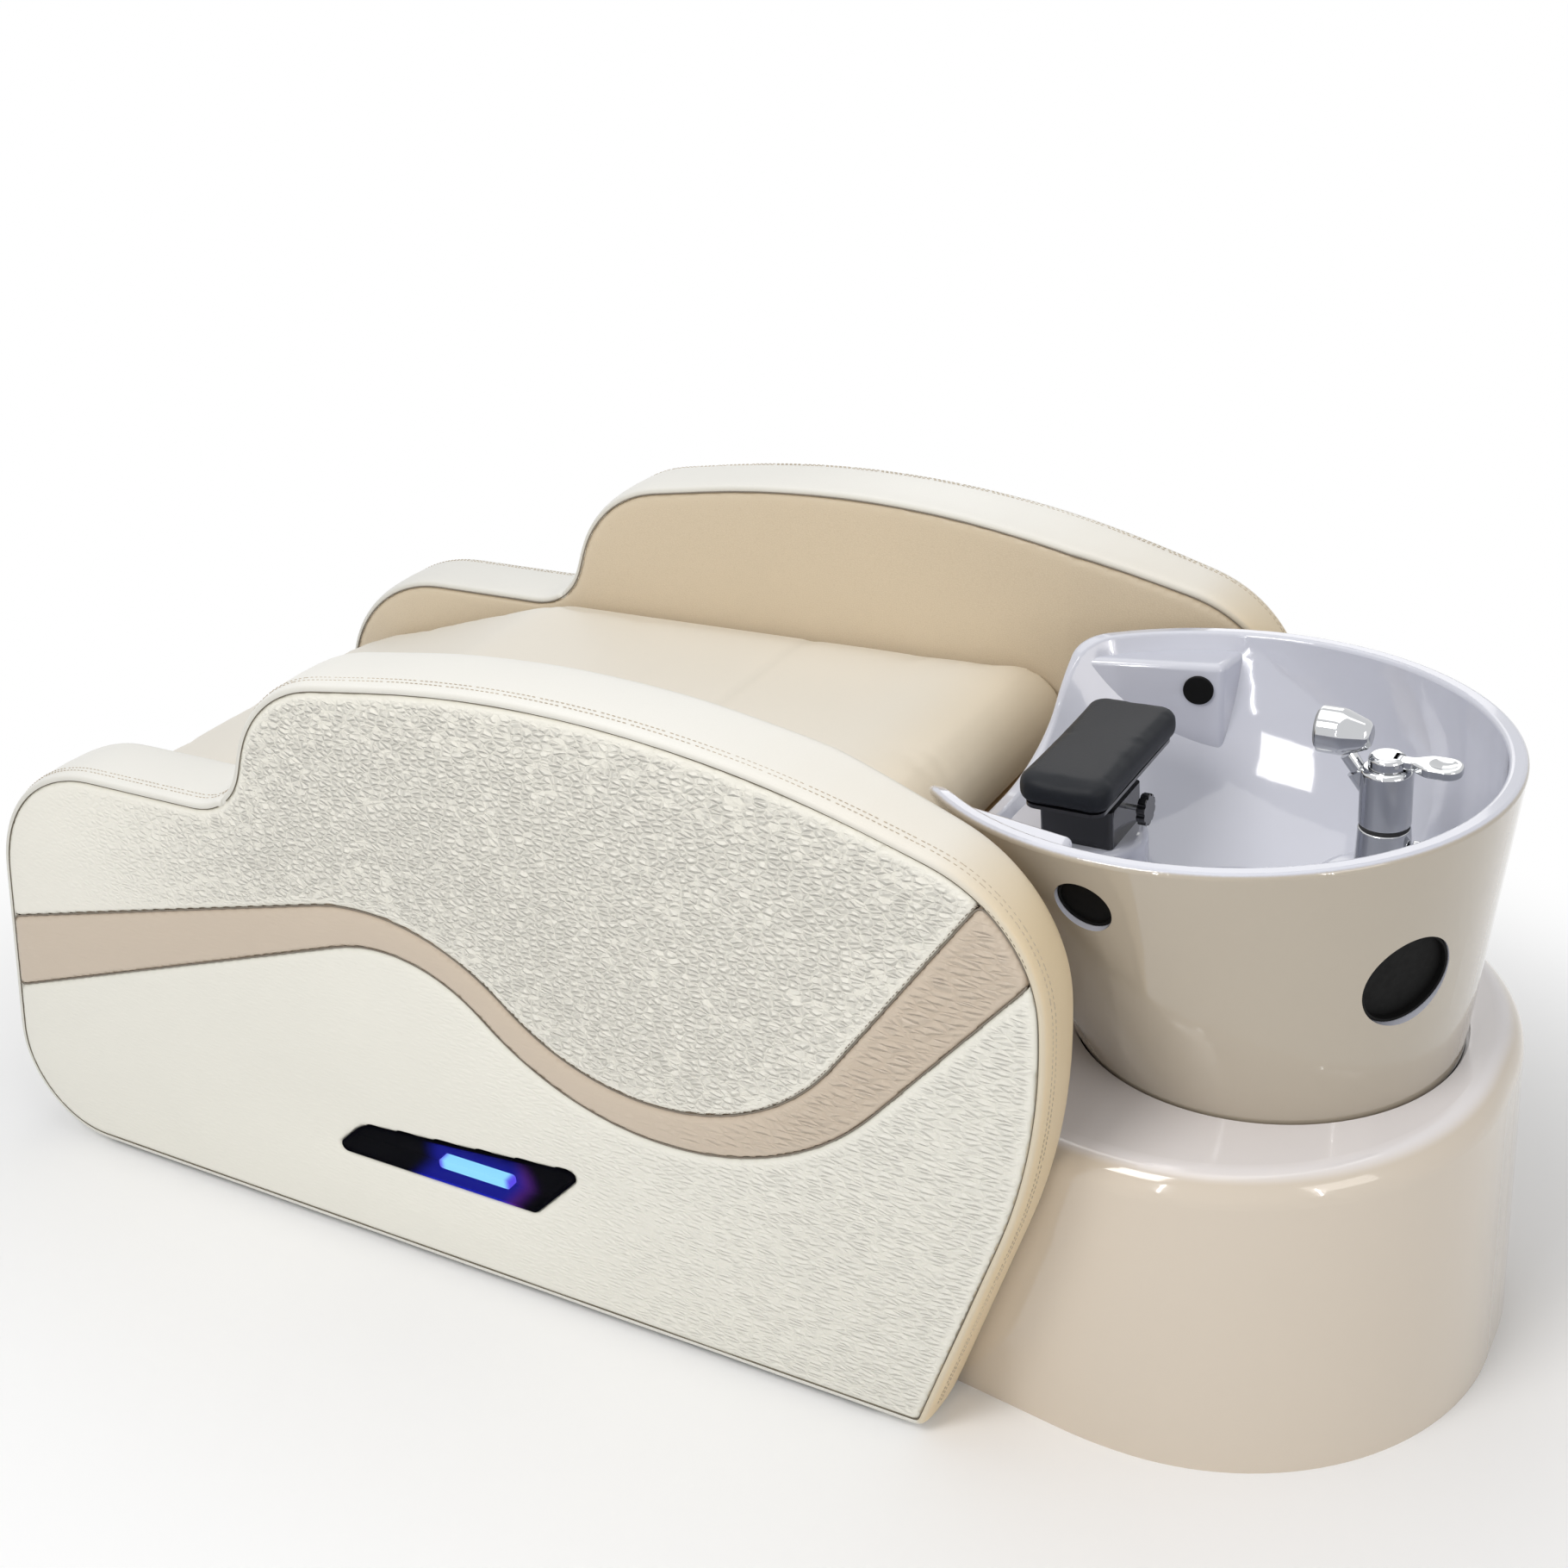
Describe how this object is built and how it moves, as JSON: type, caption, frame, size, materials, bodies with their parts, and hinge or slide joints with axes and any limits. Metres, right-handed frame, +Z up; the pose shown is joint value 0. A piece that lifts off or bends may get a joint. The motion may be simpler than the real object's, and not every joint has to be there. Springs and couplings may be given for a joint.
{
  "type": "lie-flat shampoo bed",
  "caption": "Padded salon shampoo bed with curved side panels and a sloping leg end, joined to a ceramic basin on a pedestal with tilting headrest, mixer and hand shower.",
  "frame": {"origin": "centre of the bounding box at floor level", "axes": "+X from the foot end to the basin, +Y across the bed, +Z up"},
  "size_m": [1.762, 0.76, 0.7524],
  "materials": {
    "plywood": "bare",
    "timber": "planed",
    "cream_leather": "soft grain",
    "ivory_leather": "heavy grain",
    "blush_leather": "fine grain",
    "tan_leather": "fine grain",
    "black_plastic": "satin",
    "smoked_lens": "polished",
    "blue_light": "frosted",
    "zinc_steel": "plated",
    "white_moulding": "gloss",
    "white_ceramic": "glazed",
    "black_rubber": "matt",
    "chrome": "polished",
    "grey_plastic": "satin",
    "black_gloss": "gloss",
    "black_leather": "soft"
  },
  "bodies": {
    "bed": {"side_core_left": "plywood", "side_core_right": "plywood", "seat_deck": "plywood", "leg_deck": "plywood", "base_rails": "timber", "posts": "timber", "crossbars": "timber", "bearers": "timber", "knee_bearer": "timber", "boxing_band_left": "cream_leather", "boxing_band_right": "cream_leather", "mattress": "cream_leather", "foot_board": "cream_leather", "upper_pad_left": "ivory_leather", "upper_pad_right": "ivory_leather", "lower_pad_left": "ivory_leather", "lower_pad_right": "ivory_leather", "wave_band_left": "blush_leather", "wave_band_right": "blush_leather", "inner_pad_left": "tan_leather", "inner_pad_right": "tan_leather", "kick_strips": "black_plastic", "front_covers": "black_plastic", "rear_covers": "black_plastic", "port_caps": "black_plastic", "light_housing_left": "black_plastic", "light_housing_right": "black_plastic", "led_driver": "black_plastic", "light_lens_left": "smoked_lens", "light_lens_right": "smoked_lens", "light_bar_left": "blue_light", "light_bar_right": "blue_light", "panel_bolts": "zinc_steel", "pedestal_bolts": "zinc_steel", "basin_stand": "zinc_steel", "faucet_nut": "zinc_steel", "bracket_nut": "zinc_steel", "hinge_pin": "zinc_steel", "pedestal_shell": "white_moulding", "basin": "white_ceramic", "leveling_feet": "black_rubber", "basin_gasket": "black_rubber", "faucet_seal": "black_rubber", "drain_flange": "chrome", "faucet_base": "chrome", "faucet_body": "chrome", "drain_nut": "grey_plastic", "tail_pipe": "grey_plastic", "headrest_bracket": "black_gloss"},
    "headrest": {"headrest_plate": "black_gloss", "headrest_pad": "black_leather"},
    "lock": {"lock_screw": "zinc_steel", "lock_knob": "black_gloss"},
    "hub": {"lever_hub": "chrome", "lever_pin": "zinc_steel"},
    "lever": {"lever_paddle": "chrome"},
    "hand_shower": {"handset": "chrome", "spray_face": "grey_plastic"},
    "diverter": {"diverter_knob": "chrome"}
  },
  "joints": [
    {"name": "headrest_tilt", "type": "hinge", "parent": "bed", "child": "headrest", "pos_m": [0.443, 0, 0.575], "axis": [0, 1, 0], "range_deg": [-20, 10]},
    {"name": "lock_turn", "type": "hinge", "parent": "bed", "child": "lock", "pos_m": [0.499, 0, 0.552], "axis": [1, 0, 0], "range_deg": [0, 270]},
    {"name": "lever_swivel", "type": "hinge", "parent": "bed", "child": "hub", "pos_m": [0.745, 0, 0.6454], "axis": [0, 0, 1], "range_deg": [-60, 60]},
    {"name": "lever_lift", "type": "hinge", "parent": "hub", "child": "lever", "pos_m": [0.757, 0, 0.6514], "axis": [0, -1, 0], "range_deg": [0, 25]},
    {"name": "handset_pull", "type": "slide", "parent": "bed", "child": "hand_shower", "axis": [-0.5878, 0, 0.809], "range_m": [0, 0.15]},
    {"name": "diverter_turn", "type": "hinge", "parent": "bed", "child": "diverter", "pos_m": [0.773, 0, 0.561], "axis": [1, 0, 0], "range_deg": [0, 90]}
  ]
}
